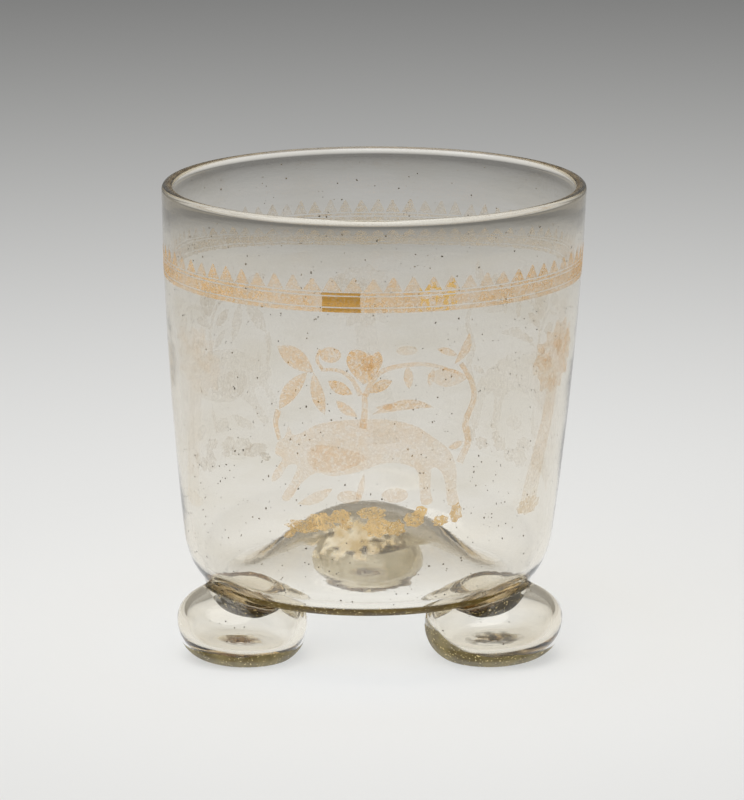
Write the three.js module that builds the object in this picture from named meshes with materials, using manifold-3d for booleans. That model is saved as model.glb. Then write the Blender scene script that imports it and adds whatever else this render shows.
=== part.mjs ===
// Footed beaker: a blown glass bowl on three hollow blown feet.
// Millimetres, +Z up. The origin lies on the table, under the centre of the lip.
import * as THREE from 'three';
import { mergeVertices } from 'three/addons/utils/BufferGeometryUtils.js';
import Module from 'manifold-3d';

const wasm = await Module();
wasm.setup();

// Bowl
const BOWL_HEIGHT = 97.1; // from the ring of the base to the top of the lip
const LIP_RADIUS = 50.4; // outside of the lip
const LIP_THICKNESS = 2.7; // the lip is rounded in the fire and thicker than the wall
const LIP_SWEEP = THREE.MathUtils.degToRad(207); // how far round the lip's bead goes, from outside to inside
const WALL_THICKNESS = 2.0;
const WALL_BELLY = 0.95; // how far the wall swells past a straight taper at mid height
const HEEL_TOP_RADIUS = 44.4; // where the wall starts, above the rounded heel
const HEEL_TOP_RISE = 13.4; // height of that place above the ring of the base
const HEEL_WIDTH = 8.4; // radial run of the rounded heel
const BASE_SLOPE = THREE.MathUtils.degToRad(13); // the underside climbs outwards from its ring
const RING_RADIUS = 34; // ring of the base, from which the kick goes up
const KICK_RISE = 16.4; // height of the kick's underside above the ring
const KICK_SHOULDER = 18.5; // breadth of the kick's round top
const KICK_TOE = 12; // how far the kick's flank runs out before the ring
const KICK_FLARE = THREE.MathUtils.degToRad(4); // how steeply it ends there
const LEAN = 1.6; // the lip's centre stands this far to the right of the base's centre

// Feet
const FOOT_CIRCLE = 35.0; // radius of the circle on which the feet stand
const FOOT_HEIGHT = 18.2; // free height, before the top is flattened against the base
const FUSE_DEPTH = 3.4; // how much of that height the base flattens
const FUSE_GAP = 0.3;
const FOOT_TILT = THREE.MathUtils.degToRad(4); // the outer side of each foot is raised
const FOOT_WAIST = 8.8; // height of a foot's widest place
const FOOT_WALL = 2.2;
const FOOT_FLOOR = 3.6; // the glass is thickest at the bottom
const FOOT_ROOF = 2.2; // glass left between the hollow and the base
const FOOT_RING = 7.6; // radius of the ring on which a foot stands
const FOOT_KICK = 0.9; // rise of a foot's underside inside that ring
const FOOT_OPENING = 1.3; // radius of the pontil opening under each foot
const FOOT_WEAR = 0.25; // depth of the flat worn on a foot by standing
const LEFT_FOOT_RADIUS = 15.5; // the feet are blown by hand and differ a little
const RIGHT_FOOT_RADIUS = 16.4;
const BACK_FOOT_RADIUS = 15.2;
const FEET = [
  { name: 'foot_front_left', azimuth: 210, radius: LEFT_FOOT_RADIUS },
  { name: 'foot_front_right', azimuth: 331, radius: RIGHT_FOOT_RADIUS },
  { name: 'foot_back', azimuth: 90, radius: BACK_FOOT_RADIUS },
];

// Fineness of the faceted surfaces: sides round the axis, and steps along each curve of an outline
const BOWL_SIDES = 56;
const FOOT_SIDES = 26;
const UNDERSIDE_STEPS = [11, 2];
const WALL_STEPS = [6, 6];
const LIP_STEPS = 7;
const FOOT_OUTER_STEPS = [7, 5, 4];
const FOOT_INNER_STEPS = [3, 3, 5];

// Heights worked out from the sizes above
const footCentreZ = FOOT_HEIGHT - FUSE_DEPTH;
const ringZ = footCentreZ - (FOOT_CIRCLE - RING_RADIUS) * Math.tan(BASE_SLOPE);
const lipZ = ringZ + BOWL_HEIGHT - LIP_THICKNESS / 2;
const v = (radius, z) => new THREE.Vector2(radius, z);

// Outline of the bowl's underside, from the axis out to the heel, as curves of radius and height
function undersideCurves() {
  const kickTop = ringZ + KICK_RISE;
  const ring = v(RING_RADIUS, ringZ);
  const toe = v(RING_RADIUS - KICK_TOE, ringZ + KICK_TOE * Math.tan(KICK_FLARE));
  const heelStart = v(
    HEEL_TOP_RADIUS - HEEL_WIDTH,
    ringZ + (HEEL_TOP_RADIUS - HEEL_WIDTH - RING_RADIUS) * Math.tan(BASE_SLOPE),
  );
  return [
    new THREE.CubicBezierCurve(v(0, kickTop), v(KICK_SHOULDER, kickTop), toe, ring),
    new THREE.LineCurve(ring, heelStart),
  ];
}

// Outline of the heel and wall, up to the outside of the lip
function wallCurves() {
  const heelStart = undersideCurves().at(-1).v2;
  const heelTop = v(HEEL_TOP_RADIUS, ringZ + HEEL_TOP_RISE);
  const lip = v(LIP_RADIUS, lipZ);
  const bulge = heelTop.clone().lerp(lip, 0.5).add(v(2 * WALL_BELLY, 0));
  // The heel's corner is where the wall, carried down, meets the underside, carried out
  const lean = (bulge.x - heelTop.x) / (bulge.y - heelTop.y);
  const climb = Math.tan(BASE_SLOPE);
  const cornerX = (heelTop.x + lean * (heelStart.y - climb * heelStart.x - heelTop.y)) / (1 - lean * climb);
  const corner = v(cornerX, heelStart.y + climb * (cornerX - heelStart.x));
  return [
    new THREE.QuadraticBezierCurve(heelStart, corner, heelTop),
    new THREE.QuadraticBezierCurve(heelTop, bulge, lip),
  ];
}

// Points along a run of curves, each moved out along the outline's normal
function alongCurves(curves, steps, offset) {
  const points = [];
  curves.forEach((curve, index) => {
    for (let step = index === 0 ? 0 : 1; step <= steps[index]; step += 1) {
      const t = step / steps[index];
      const tangent = curve.getTangent(t);
      const point = curve.getPoint(t);
      points.push(v(Math.max(point.x + tangent.y * offset, 0), point.y - tangent.x * offset));
    }
  });
  return points;
}

// A turned solid about Z from an outline of radius and height
function turned(points, sides) {
  return new THREE.LatheGeometry(points, sides).rotateX(Math.PI / 2);
}

// The whole outline of the bowl's section: underside, wall, lip, then the inside back to the axis
function bowlOutline() {
  const curves = [...undersideCurves(), ...wallCurves()];
  const steps = [...UNDERSIDE_STEPS, ...WALL_STEPS];
  const outside = alongCurves(curves, steps, 0);
  const inside = alongCurves(curves, steps, -WALL_THICKNESS).reverse();
  const lipRound = LIP_THICKNESS / 2;
  const lipBead = new THREE.EllipseCurve(LIP_RADIUS - lipRound, lipZ, lipRound, lipRound, 0, LIP_SWEEP);
  const bead = lipBead.getPoints(LIP_STEPS).slice(1);
  const belowBead = inside.filter((point) => point.y < lipZ - LIP_THICKNESS);
  belowBead[belowBead.length - 1].x = 0;
  return [...outside, ...bead, ...belowBead];
}

// Leaning shear: the slices stay level and slide to the right as they climb
function leaned(geometry) {
  const perHeight = LEAN / (lipZ - ringZ);
  const shear = new THREE.Matrix4().makeShear(0, 0, 0, 0, perHeight, 0);
  return geometry.applyMatrix4(shear).translate(-perHeight * lipZ, 0, 0);
}

// A closed triangle mesh with shared corners, as a solid for cutting
function toSolid(geometry) {
  const bare = geometry.clone();
  bare.deleteAttribute('normal');
  bare.deleteAttribute('uv');
  const welded = mergeVertices(bare, 1e-4);
  return new wasm.Manifold(
    new wasm.Mesh({
      numProp: 3,
      vertProperties: new Float32Array(welded.attributes.position.array),
      triVerts: new Uint32Array(welded.index.array),
    }),
  );
}

function toGeometry(solid) {
  const mesh = solid.getMesh();
  const geometry = new THREE.BufferGeometry();
  geometry.setAttribute('position', new THREE.BufferAttribute(new Float32Array(mesh.vertProperties), 3));
  geometry.setIndex(new THREE.BufferAttribute(new Uint32Array(mesh.triVerts), 1));
  geometry.computeVertexNormals();
  return geometry;
}

// Section of one foot: outer bun from the top down to the pontil opening, then the hollow up to the axis
function footOutline(radius) {
  const outer = [
    new THREE.EllipseCurve(0, FOOT_WAIST, radius, FOOT_HEIGHT - FOOT_WAIST, Math.PI / 2, 0, true),
    new THREE.EllipseCurve(FOOT_RING, FOOT_WAIST, radius - FOOT_RING, FOOT_WAIST, 0, -Math.PI / 2, true),
    new THREE.CubicBezierCurve(
      v(FOOT_RING, 0),
      v(FOOT_RING * 0.5, 0),
      v(FOOT_RING * 0.5, FOOT_KICK),
      v(FOOT_OPENING, FOOT_KICK),
    ),
  ];
  const hollowTop = footCentreZ - FUSE_GAP - FOOT_ROOF;
  const hollowWaist = (FOOT_FLOOR + hollowTop) / 2;
  const hollowRadius = radius - FOOT_WALL;
  const inner = [
    new THREE.CubicBezierCurve(
      v(FOOT_OPENING, FOOT_KICK + FOOT_FLOOR * 0.6),
      v(FOOT_RING * 0.5, FOOT_KICK + FOOT_FLOOR * 0.6),
      v(FOOT_RING * 0.5, FOOT_FLOOR),
      v(FOOT_RING, FOOT_FLOOR),
    ),
    new THREE.EllipseCurve(
      FOOT_RING, hollowWaist, hollowRadius - FOOT_RING, hollowWaist - FOOT_FLOOR, -Math.PI / 2, 0,
    ),
    new THREE.EllipseCurve(0, hollowWaist, hollowRadius, hollowTop - hollowWaist, 0, Math.PI / 2),
  ];
  const points = [
    ...alongCurves(outer, FOOT_OUTER_STEPS, 0),
    ...alongCurves(inner, FOOT_INNER_STEPS, 0),
  ].reverse();
  points.at(0).x = 0;
  points.at(-1).x = 0;
  return points;
}

// The space that the bowl fills, grown by the gap that it keeps to the feet
function bowlEnvelope() {
  const curves = [...undersideCurves(), ...wallCurves()];
  const outside = alongCurves(curves, [...UNDERSIDE_STEPS, ...WALL_STEPS], FUSE_GAP);
  return leaned(turned([...outside, v(0, lipZ)], BOWL_SIDES));
}

// A slab below the table's level, which wears a foot's lowest place flat
function tableSlab() {
  const reach = 4 * FOOT_CIRCLE;
  return new THREE.BoxGeometry(reach, reach, FOOT_HEIGHT).translate(0, 0, -FOOT_HEIGHT / 2);
}

// One foot, shaped in its own frame and cut there by the bowl above it and the table below it
function makeFoot({ name, azimuth, radius }, material) {
  const shape = turned(footOutline(radius), FOOT_SIDES);
  const seat = new THREE.Group();
  seat.position.set(baseX, 0, 0);
  seat.rotation.z = THREE.MathUtils.degToRad(azimuth);
  const foot = new THREE.Mesh(shape, material);
  foot.name = name;
  foot.position.x = FOOT_CIRCLE;
  foot.rotation.y = -FOOT_TILT;
  seat.add(foot);
  seat.updateMatrixWorld(true);
  const lowest = new THREE.Box3().setFromObject(foot, true).min.z;
  foot.position.z = -FOOT_WEAR - lowest;
  seat.updateMatrixWorld(true);
  const toFoot = foot.matrixWorld.clone().invert();
  const bowlHere = toSolid(bowlEnvelope().applyMatrix4(toFoot));
  const tableHere = toSolid(tableSlab().applyMatrix4(toFoot));
  foot.geometry = toGeometry(toSolid(shape).subtract(bowlHere).subtract(tableHere));
  return seat;
}

const baseX = -LEAN;
const glass = new THREE.MeshStandardMaterial({ color: 0xcfc9b2, roughness: 0.05, metalness: 0 });
const footGlass = new THREE.MeshStandardMaterial({ color: 0xa89f78, roughness: 0.06, metalness: 0 });

const bowl = new THREE.Mesh(leaned(turned(bowlOutline(), BOWL_SIDES)), glass);
bowl.name = 'beaker_body';

const beaker = new THREE.Group();
beaker.add(bowl);
FEET.forEach((foot) => beaker.add(makeFoot(foot, footGlass)));

export default beaker;
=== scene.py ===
"""The looks of the footed beaker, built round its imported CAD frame.

Metres, +Z up. The origin is on the table under the centre of the lip, and -Y is the front.
"""

from __future__ import annotations

import bisect
import logging
import math
import random
from dataclasses import dataclass
from enum import Enum

import bmesh
import bpy
from mathutils import Euler, Matrix, Vector, noise
from mathutils.geometry import interpolate_bezier

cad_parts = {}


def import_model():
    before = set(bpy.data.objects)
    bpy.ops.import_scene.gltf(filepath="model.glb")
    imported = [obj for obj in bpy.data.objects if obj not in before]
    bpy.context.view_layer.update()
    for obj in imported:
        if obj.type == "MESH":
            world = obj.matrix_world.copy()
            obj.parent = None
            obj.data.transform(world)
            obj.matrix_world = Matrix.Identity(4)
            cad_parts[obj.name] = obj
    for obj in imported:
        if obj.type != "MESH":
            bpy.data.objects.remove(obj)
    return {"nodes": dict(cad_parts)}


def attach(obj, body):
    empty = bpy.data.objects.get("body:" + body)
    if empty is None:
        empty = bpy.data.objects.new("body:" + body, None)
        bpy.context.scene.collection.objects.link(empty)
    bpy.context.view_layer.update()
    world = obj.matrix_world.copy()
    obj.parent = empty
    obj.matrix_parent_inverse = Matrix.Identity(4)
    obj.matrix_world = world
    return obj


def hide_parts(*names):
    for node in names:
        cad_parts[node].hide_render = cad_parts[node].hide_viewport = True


Mesh = bmesh.types.BMesh
Material = bpy.types.Material
Piece = bpy.types.Object
Socket = bpy.types.NodeSocket

log = logging.getLogger("beaker")
AXIS = Vector((0, 0, 1))


class Slot(Enum):
    """The record's material slots."""

    BOWL = "bowl_glass"
    FOOT = "foot_glass"
    GILDING = "gilding"


# Shader maths


class Number:
    """A socket that carries a number. Arithmetic on it adds Math nodes."""

    def __init__(self, graph: Graph, socket: Socket) -> None:
        """Wraps one output socket of a graph."""
        self.graph = graph
        self.socket = socket

    def _math(self, operation: str, *terms: Number | float) -> Number:
        """Adds one Math node.

        Args:
            operation: the node's operation.
            terms: its inputs in order.

        Returns:
            The node's result.
        """
        made = self.graph.node("Math", {"operation": operation}, dict(enumerate(terms)))
        return Number(self.graph, made.outputs[0])

    def __add__(self, other: Number | float) -> Number:
        """self + other"""
        return self._math("ADD", self, other)

    def __sub__(self, other: Number | float) -> Number:
        """self - other"""
        return self._math("SUBTRACT", self, other)

    def __rsub__(self, other: Number | float) -> Number:
        """other - self"""
        return self._math("SUBTRACT", other, self)

    def __mul__(self, other: Number | float) -> Number:
        """self * other"""
        return self._math("MULTIPLY", self, other)

    def __truediv__(self, other: Number | float) -> Number:
        """self / other"""
        return self._math("DIVIDE", self, other)

    def __rtruediv__(self, other: Number | float) -> Number:
        """other / self"""
        return self._math("DIVIDE", other, self)

    def __pow__(self, other: Number | float) -> Number:
        """self ** other"""
        return self._math("POWER", self, other)

    __radd__ = __add__
    __rmul__ = __mul__

    def larger(self, other: Number | float) -> Number:
        """The larger of two numbers."""
        return self._math("MAXIMUM", self, other)

    def smaller(self, other: Number | float) -> Number:
        """The smaller of two numbers."""
        return self._math("MINIMUM", self, other)

    def turn_of(self, other: Number | float) -> Number:
        """The angle whose tangent is self over other."""
        return self._math("ARCTAN2", self, other)

    def distance(self) -> Number:
        """The number without its sign."""
        return self._math("ABSOLUTE", self)

    def rise(self, low: float, high: float) -> Number:
        """A smooth step.

        Args:
            low: where it leaves 0.
            high: where it reaches 1; below low it falls instead.

        Returns:
            A number from 0 to 1.
        """
        ends = {"Value": self, "From Min": low, "From Max": high}
        made = self.graph.node("MapRange", {"interpolation_type": "SMOOTHSTEP"}, ends)
        return Number(self.graph, made.outputs["Result"])


class Graph:
    """The node tree of one material or world while it is built."""

    def __init__(self, tree: bpy.types.NodeTree) -> None:
        """Takes over a tree and empties it."""
        tree.nodes.clear()
        self.tree = tree

    def node(self, kind: str, settings: dict | None = None, inputs: dict | None = None) -> bpy.types.Node:
        """Adds a node.

        Args:
            kind: its type, without the leading ShaderNode.
            settings: its properties, and a colour ramp's stops.
            inputs: values or links by the socket's name or number.

        Returns:
            The new node.
        """
        made = self.tree.nodes.new("ShaderNode" + kind)
        for name, value in (settings or {}).items():
            if name == "stops":
                self._set_stops(made.color_ramp.elements, value)
            else:
                setattr(made, name, value)
        for name, value in (inputs or {}).items():
            self.feed(made.inputs[name], value)
        return made

    @staticmethod
    def _set_stops(elements: bpy.types.bpy_prop_collection, stops: list[tuple]) -> None:
        """Gives a ramp its stops.

        Args:
            elements: the ramp's elements.
            stops: for each a place from 0 to 1 and a colour.
        """
        while len(elements) < len(stops):
            elements.new(0.5)
        for element, (place, colour) in zip(elements, stops):
            element.position = place
            element.color = (*colour, 1)

    def feed(self, socket: Socket, value: object) -> None:
        """Links a socket to another or sets its value.

        Args:
            socket: the input.
            value: a number of the graph, an output or a plain value.
        """
        if isinstance(value, Number):
            value = value.socket
        if isinstance(value, Socket):
            self.tree.links.new(value, socket)
        else:
            socket.default_value = value

    def number(self, kind: str, output: str | int, *ways: dict | None) -> Number:
        """Adds a node, with its settings and inputs, and returns one of its outputs as a number."""
        return Number(self, self.node(kind, *ways).outputs[output])

    def place(self) -> Socket:
        """The Object coordinates."""
        return self.node("TexCoord").outputs["Object"]

    def grain(
        self, scale: float, detail: float = 2.0, stretch: tuple = (1, 1, 1), rough: float = 0.5
    ) -> Number:
        """Noise on Object coordinates.

        Args:
            scale: features per metre.
            detail: octaves.
            stretch: scale of the coordinates along X, Y and Z.
            rough: share of the finer octaves.

        Returns:
            A number round 0.5.
        """
        moved = self.node("Mapping", None, {"Vector": self.place(), "Scale": stretch}).outputs[0]
        ends = {"Vector": moved, "Scale": scale, "Detail": detail, "Roughness": rough}
        return self.number("TexNoise", 0, None, ends)

    def blend(self, share: Number | float, first: object, second: object) -> Socket:
        """Mixes two colours by a share from 0 to 1."""
        made = self.node("Mix", {"data_type": "RGBA"}, {0: share, 6: first, 7: second})
        return made.outputs[2]

    def mix_shaders(self, share: object, first: object, second: object) -> Socket:
        """Mixes two shaders by a share from 0 to 1."""
        return self.node("MixShader", None, {0: share, 1: first, 2: second}).outputs[0]

    def surface(self, ends: dict) -> Socket:
        """A Principled surface with the given inputs."""
        return self.node("BsdfPrincipled", None, ends).outputs[0]

    def bump(self, strength: float, distance: float, height: Number) -> Socket:
        """The normal of fine relief."""
        ends = {"Strength": strength, "Distance": distance, "Height": height}
        return self.node("Bump", None, ends).outputs[0]

    def mirrored(self) -> Number:
        """1 for rays that a glossy or a clear surface sends on, else 0."""
        rays = self.node("LightPath").outputs
        return Number(self, rays["Is Glossy Ray"]).larger(Number(self, rays["Is Transmission Ray"]))

    def finish(self, surface: object, volume: object = None) -> None:
        """Links the shaders to the material's output.

        Args:
            surface: what the surface shows.
            volume: what fills it, if anything does.
        """
        out = self.node("OutputMaterial", None, {"Surface": surface})
        if volume is not None:
            self.feed(out.inputs["Volume"], volume)


def new_material(name: str) -> tuple[Material, Graph]:
    """Makes an empty node material.

    Args:
        name: the material's name.

    Returns:
        The material and its graph.
    """
    material = bpy.data.materials.new(name)
    material.use_nodes = True
    return material, Graph(material.node_tree)


# Finishes


@dataclass(frozen=True)
class BlownGlass:
    """Old soda glass: clear, straw to olive where it is thick, with fine cords and scuffs."""

    name: str
    tint: tuple = (0.673, 0.491, 0.091)
    depth: float = 44.0
    cord_scale: float = 90.0
    cord_stretch: tuple = (1.0, 1.0, 4.0)
    cord_height: float = 0.00002
    let_through: tuple = (0.995, 0.994, 0.990)
    tone: tuple = (1.0, 1.0, 1.0)
    streak: tuple = (0.978, 0.972, 0.955)

    def material(self) -> Material:
        """Builds the glass.

        Returns:
            The material, which lamps and diffuse rays pass straight.
        """
        material, graph = new_material(self.name)
        cords = graph.grain(self.cord_scale, 3.0, self.cord_stretch)
        pits = graph.grain(1900.0, 1.0).rise(0.70, 0.80)
        scuffs = graph.grain(260.0, 4.0, (1, 1, 2.5), 0.7).rise(0.58, 0.78)
        streaks = graph.grain(45.0, 3.0, (1, 1, 3.0)).rise(0.45, 0.65)
        glass = graph.surface(
            {
                "Base Color": graph.blend(streaks, (*self.tone, 1), (*self.streak, 1)),
                "Roughness": 0.003 + 0.025 * scuffs,
                "IOR": 1.5,
                "Transmission Weight": 1.0,
                "Normal": graph.bump(1.0, self.cord_height, cords - 0.3 * pits),
            }
        )
        clear = graph.node("BsdfTransparent", None, {"Color": (*self.let_through, 1)}).outputs[0]
        rays = graph.node("LightPath").outputs
        surface = graph.mix_shaders(rays["Is Shadow Ray"], glass, clear)
        surface = graph.mix_shaders(rays["Is Diffuse Ray"], surface, clear)
        soak = graph.node("VolumeAbsorption", None, {"Color": (*self.tint, 1), "Density": self.depth})
        graph.finish(surface, soak.outputs[0])
        return material


@dataclass(frozen=True)
class GoldLeaf:
    """Fired gold leaf, worn so thin that the glass shows through, denser in two places of the frieze, and
    painted paler on the back half for the glass it is seen through.
    """

    name: str = "rubbed_gold_leaf"
    dense: tuple = (0.54, 0.285, 0.035)
    worn: tuple = (0.82, 0.51, 0.19)
    bright: tuple = (0.84, 0.60, 0.28)
    fresh: tuple = (0.84, 0.52, 0.10)
    # Painted light: the paler, greyer gold of the back half.
    through: tuple = (0.68, 0.61, 0.50)
    shadow: tuple = (0.46, 0.25, 0.07)
    frieze_foot: float = 0.0898
    frieze_top: float = 0.0950
    bushes_top: float = 0.0455
    patch_turn: float = 0.152
    flecked_turn: float = 0.298

    def material(self) -> Material:
        """Builds the leaf.

        Returns:
            The material. The vertex attribute "leaf" says how much leaf is left on each shape.
        """
        material, graph = new_material(self.name)
        left = graph.number("Attribute", "Fac", {"attribute_name": "leaf"})
        inside = graph.number("Attribute", "Fac", {"attribute_name": "within"})
        ends = graph.node("SeparateXYZ", None, {"Vector": graph.place()}).outputs
        across, back, height = (Number(graph, socket) for socket in ends)
        turn = across.turn_of(0.0 - back)
        on_frieze = height.rise(self.frieze_foot, self.frieze_foot + 0.0003)
        on_strips = on_frieze * height.rise(self.frieze_top + 0.0001, self.frieze_top - 0.0001)
        ragged = (graph.grain(330.0, 3.0) - 0.5) * 0.06
        patch = (turn + self.patch_turn + 0.3 * ragged).distance().rise(0.092, 0.087) * on_strips
        rich = (turn - self.flecked_turn + ragged).distance().rise(0.105, 0.080) * on_frieze
        rich = rich * graph.grain(800.0, 3.0).rise(0.46, 0.58)
        rub = graph.grain(420.0, 4.0, (1, 1, 1), 0.65)
        cloud = graph.grain(75.0, 2.0)
        worn_edge = (inside + 2.2 * (rub - 0.5)).rise(0.05, 0.8)
        keep = left * worn_edge * (0.1 + 2.0 * rub) * (0.35 + 1.4 * cloud)
        speck = graph.grain(1500.0, 2.0).rise(0.38, 0.50)
        keep = keep * (0.45 + 0.6 * speck)
        shown = keep.larger(patch * (0.9 + 0.12 * rub) * (0.86 + 0.14 * speck)).larger(0.8 * rich)
        shown = shown.smaller(0.985).larger(0.0)
        each_side = 1.0 - (1.0 - shown) ** 0.5
        tone = graph.grain(600.0, 2.0)
        low = height.rise(self.bushes_top, self.bushes_top - 0.002)
        colour = graph.blend(low, (*self.worn, 1), (*self.bright, 1))
        # Painted light: the leaf on the back half is painted paler and greyer, for the veil of glass it is
        # seen through.
        colour = graph.blend(back.rise(-0.005, 0.02), colour, (*self.through, 1))
        colour = graph.blend(tone.rise(0.3, 0.8) * 0.2, colour, (*self.shadow, 1))
        colour = graph.blend(rich, colour, (*self.fresh, 1))
        colour = graph.blend(patch, colour, (*self.dense, 1))
        leaf = {
            "Base Color": colour,
            "Roughness": 0.38 + 0.3 * rub,
            "Metallic": 0.25 * patch,
            "Alpha": each_side,
            "Normal": graph.bump(0.4, 0.00005, rub),
        }
        graph.finish(graph.surface(leaf))
        return material


@dataclass(frozen=True)
class StainAndPaintedLightFilm:
    """A thin film with pale seeds and gold specks. It paints the shade that thick old glass shows edge on, a
    highlight, and the real stains of the pontil scars.
    """

    name: str
    dark: tuple
    light: tuple
    cover: float
    one_sided: bool = False
    specks: float = 0.66
    pale: tuple = (0.80, 0.66, 0.32)

    def material(self) -> Material:
        """Builds the film's material.

        Returns:
            The material. The vertex attribute "film" thins it towards its edges. A one-sided film of painted
            shade shows from outside alone, since the same glass is clear when seen from within.
        """
        material, graph = new_material(self.name)
        seeds = graph.grain(1700.0, 1.0).rise(self.specks, self.specks + 0.04)
        cloud = graph.grain(230.0, 3.0, (1, 1, 0.4))
        fine = graph.grain(800.0, 2.0)
        colour = graph.blend(cloud.rise(0.3, 0.7), (*self.dark, 1), (*self.light, 1))
        colour = graph.blend(seeds, colour, (*self.pale, 1))
        shown = graph.number("Attribute", "Fac", {"attribute_name": "film"}) * self.cover
        shown = (shown * (0.88 + 0.24 * cloud)).smaller(0.98)
        if self.one_sided:
            # Painted shade: a one-sided film hides from within, where the same glass looks clear.
            shown = shown * (1.0 - graph.number("NewGeometry", "Backfacing"))
        else:
            shown = 1.0 - (1.0 - shown) ** 0.5
        film = {
            "Base Color": colour,
            "Roughness": 0.45 + 0.2 * fine,
            "Specular IOR Level": 0.15,
            "Alpha": shown,
        }
        graph.finish(graph.surface(film))
        return material


@dataclass(frozen=True)
class SeedSkin:
    """The dull mottled skin of the seeds in the glass."""

    name: str = "seed"
    dark: tuple = (0.10, 0.085, 0.06)
    light: tuple = (0.26, 0.22, 0.16)
    scale: float = 400.0
    roughness: float = 0.35

    def material(self) -> Material:
        """Builds the skin.

        Returns:
            The material.
        """
        material, graph = new_material(self.name)
        mottle = graph.grain(self.scale, 3.0)
        skin = {
            "Base Color": graph.blend(mottle.rise(0.35, 0.65), (*self.dark, 1), (*self.light, 1)),
            "Roughness": self.roughness + 0.2 * mottle,
            "Normal": graph.bump(0.5, 0.0001, mottle),
        }
        graph.finish(graph.surface(skin))
        return material


# Sections and meshes


def at(radius: float, height: float) -> Vector:
    """A point of a section, in the XZ plane."""
    return Vector((radius, 0, height))


def bend(first: Vector, corner: Vector, last: Vector, count: int) -> list[Vector]:
    """Points along a curve that turns one corner.

    Args:
        first: where it starts.
        corner: the corner that it rounds off.
        last: where it ends.
        count: how many points.

    Returns:
        The points, both ends among them.
    """
    return interpolate_bezier(first, first.lerp(corner, 2 / 3), last.lerp(corner, 2 / 3), last, count)


def arc(centre: Vector, wide: float, high: float, start: float, end: float, count: int) -> list[Vector]:
    """Points along an ellipse's arc.

    Args:
        centre: the ellipse's centre.
        wide: its half width.
        high: its half height.
        start: the first angle, in degrees.
        end: the last angle.
        count: how many points.

    Returns:
        The points, both ends among them.
    """
    turns = [math.radians(start + (end - start) * step / (count - 1)) for step in range(count)]
    return [centre + at(wide * math.cos(turn), high * math.sin(turn)) for turn in turns]


def joined(runs: list[list[Vector]]) -> list[Vector]:
    """Runs of points end to end, without the doubled ends."""
    return runs[0] + [point for run in runs[1:] for point in run[1:]]


def read_off(places: list[float], values: list[float], place: float) -> float:
    """Reads a value off a line between its points.

    Args:
        places: the points' places, which rise.
        values: the points' values.
        place: where to read.

    Returns:
        The value there, on the end's own straight line if the place is past it.
    """
    index = min(max(1, bisect.bisect_left(places, place)), len(places) - 1)
    start, end = places[index - 1], places[index]
    return values[index - 1] + (values[index] - values[index - 1]) * (place - start) / (end - start)


def limited(share: float, low: float = 0.0) -> float:
    """A share kept between low and 1."""
    return max(low, min(1.0, share))


def moved_in(points: list[Vector], amounts: list[float]) -> list[Vector]:
    """Points moved to the left of their own line.

    Args:
        points: a line in the XZ plane.
        amounts: how far, for each.

    Returns:
        The moved points, none of them past the axis.
    """
    result = []
    for index, (point, amount) in enumerate(zip(points, amounts)):
        ahead = points[min(index + 1, len(points) - 1)] - points[max(index - 1, 0)]
        ahead = at(1, 0) if point.x < 1e-6 else ahead.normalized()
        result.append(at(max(point.x - ahead.z * amount, 0.0), point.z + ahead.x * amount))
    return result


def spun(
    section: list[Vector], sides: int, weights: dict[str, list[float]] | None = None, ring: bool = False
) -> Mesh:
    """A closed turned shape.

    Args:
        section: its section in the XZ plane, from the axis back to the axis.
        sides: how many sides it has.
        weights: numbers for each point of the section, kept as vertex layers.
        ring: whether the section closes on itself instead, off the axis.

    Returns:
        The mesh, with its faces pointing outwards.
    """
    mesh = bmesh.new()
    layers = {name: mesh.verts.layers.float.new(name) for name in weights or {}}
    points = [mesh.verts.new(point) for point in section]
    for name, layer in layers.items():
        for vert, value in zip(points, weights[name]):
            vert[layer] = value
    lines = [mesh.edges.new(pair) for pair in zip(points, points[1:] + points[:1] if ring else points[1:])]
    bmesh.ops.spin(
        mesh, geom=points + lines, cent=(0, 0, 0), axis=AXIS, angle=math.tau, steps=sides, use_merge=True
    )
    bmesh.ops.remove_doubles(mesh, verts=mesh.verts, dist=2e-7)
    bmesh.ops.recalc_face_normals(mesh, faces=mesh.faces)
    mesh.normal_update()
    return mesh


def to_object(mesh: Mesh, name: str, material: Material, smooth: bool = True) -> Piece:
    """Turns a mesh into a finished object at the origin.

    Args:
        mesh: the mesh, which is freed.
        name: the piece's name.
        material: its finish.
        smooth: whether its faces are shaded smooth.

    Returns:
        The object, linked to the scene.
    """
    for face in mesh.faces:
        face.smooth = smooth
    data = bpy.data.meshes.new(name)
    mesh.to_mesh(data)
    mesh.free()
    data.materials.append(material)
    piece = bpy.data.objects.new(name, data)
    bpy.context.scene.collection.objects.link(piece)
    return piece


def report(piece: Piece) -> None:
    """Logs a piece and its size."""
    log.info("%s: %d faces", piece.name, len(piece.data.polygons))


# Bowl


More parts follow.
